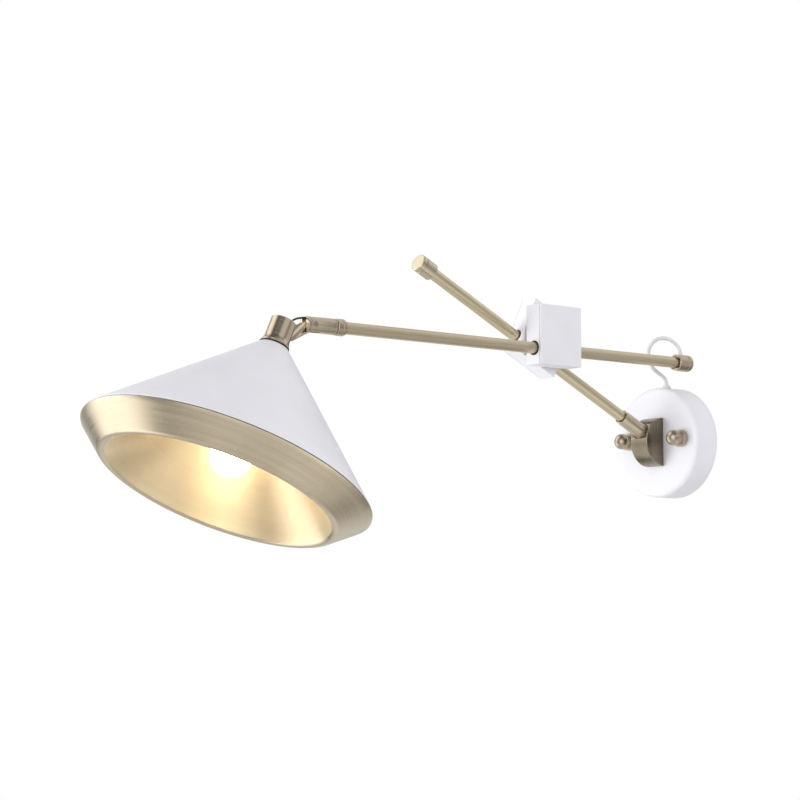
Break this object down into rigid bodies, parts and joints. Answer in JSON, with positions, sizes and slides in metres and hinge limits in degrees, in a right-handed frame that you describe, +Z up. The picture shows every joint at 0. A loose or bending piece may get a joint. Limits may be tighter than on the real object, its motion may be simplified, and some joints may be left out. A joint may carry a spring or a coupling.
{
  "type": "swing arm wall sconce",
  "caption": "Wall sconce with a round canopy, two crossed brass rods joined by sliding square blocks, and a white cone shade with a brass lip.",
  "frame": {"origin": "centre of the mounting bracket's back face, on the wall", "axes": "+Y into the wall, -Y out into the room along the arm, +Z up, +X to the right for a viewer who faces the wall"},
  "size_m": [0.236, 0.6336, 0.2473],
  "materials": {
    "white_paint": "satin white paint",
    "white_block_paint": "satin white paint",
    "antique_brass": "brushed antique brass",
    "satin_brass": "satin yellow brass",
    "shade_brass": "spun brass with fine turning lines",
    "zinc_steel": "zinc plated",
    "white_cable": "soft matt cable sheath",
    "black_plastic": "moulded, matt",
    "cream_plastic": "moulded, semi-gloss",
    "lamp_glass": "frosted",
    "filament": "glowing stem"
  },
  "bodies": {
    "root": {"mounting_bracket": "zinc_steel", "stud_left": "zinc_steel", "stud_right": "zinc_steel", "stud_nut_left": "zinc_steel", "stud_nut_right": "zinc_steel", "canopy": "white_paint", "finial_nut_left": "antique_brass", "finial_nut_right": "antique_brass", "earth_screw": "zinc_steel", "terminal_block": "cream_plastic", "cable_gland": "white_cable", "canopy_lead": "white_cable", "supply_cord": "white_cable"},
    "arm": {"wall_knuckle": "antique_brass", "knuckle_nipple": "zinc_steel", "knuckle_washer": "zinc_steel", "knuckle_nut": "zinc_steel", "arm_collar": "satin_brass", "rod_a": "satin_brass", "rod_a_end_cap": "satin_brass"},
    "rear_slider": {"rear_block": "white_block_paint", "rear_cover_plate": "white_block_paint", "rear_bush": "black_plastic"},
    "front_slider": {"front_block": "white_block_paint", "front_cover_plate": "white_block_paint", "front_bush": "black_plastic", "pivot_bolt": "zinc_steel", "pivot_spring_washer": "zinc_steel", "pivot_nut": "zinc_steel", "pivot_disc": "black_plastic"},
    "sliding_rod": {"rod_b": "antique_brass", "rod_b_end_cap": "antique_brass", "rod_lead": "white_cable", "sleeve_ring": "antique_brass"},
    "head": {"fork_sleeve": "antique_brass", "hinge_pin": "antique_brass"},
    "shade": {"knuckle_tongue": "antique_brass", "tongue_screw": "zinc_steel", "neck_cup": "antique_brass", "neck_gasket": "black_plastic", "neck_nipple": "zinc_steel", "neck_nut": "zinc_steel", "shade_outer": "white_paint", "inner_reflector": "shade_brass", "lip_band": "shade_brass", "lamp_holder": "cream_plastic", "bulb_cap": "zinc_steel", "bulb_glass": "lamp_glass", "bulb_filament": "filament", "joint_lead": "black_plastic"}
  },
  "joints": [
    {"name": "wall_swivel", "type": "hinge", "parent": "root", "child": "arm", "pos_m": [0, -0.0283, 0], "axis": [0, 1, 0], "range_deg": [-45, 45], "deforming": ["supply_cord"]},
    {"name": "block_slide", "type": "slide", "parent": "arm", "child": "rear_slider", "axis": [0, -0.9026, 0.4305], "range_m": [0, 0.04], "deforming": ["supply_cord"]},
    {"name": "block_pivot", "type": "hinge", "parent": "rear_slider", "child": "front_slider", "pos_m": [0, -0.17625, 0.08353], "axis": [1, 0, 0], "range_deg": [-1, 20], "deforming": ["supply_cord"]},
    {"name": "rod_slide", "type": "slide", "parent": "front_slider", "child": "sliding_rod", "axis": [0, -1, 0], "range_m": [0, 0.03], "deforming": ["supply_cord"]},
    {"name": "head_roll", "type": "hinge", "parent": "sliding_rod", "child": "head", "pos_m": [0.02, -0.4215, 0.07183], "axis": [0, 1, 0], "range_deg": [-45, 45]},
    {"name": "shade_tilt", "type": "hinge", "parent": "head", "child": "shade", "pos_m": [0.02, -0.4445, 0.07183], "axis": [1, 0, 0], "range_deg": [-70, 55], "deforming": ["joint_lead"]}
  ]
}
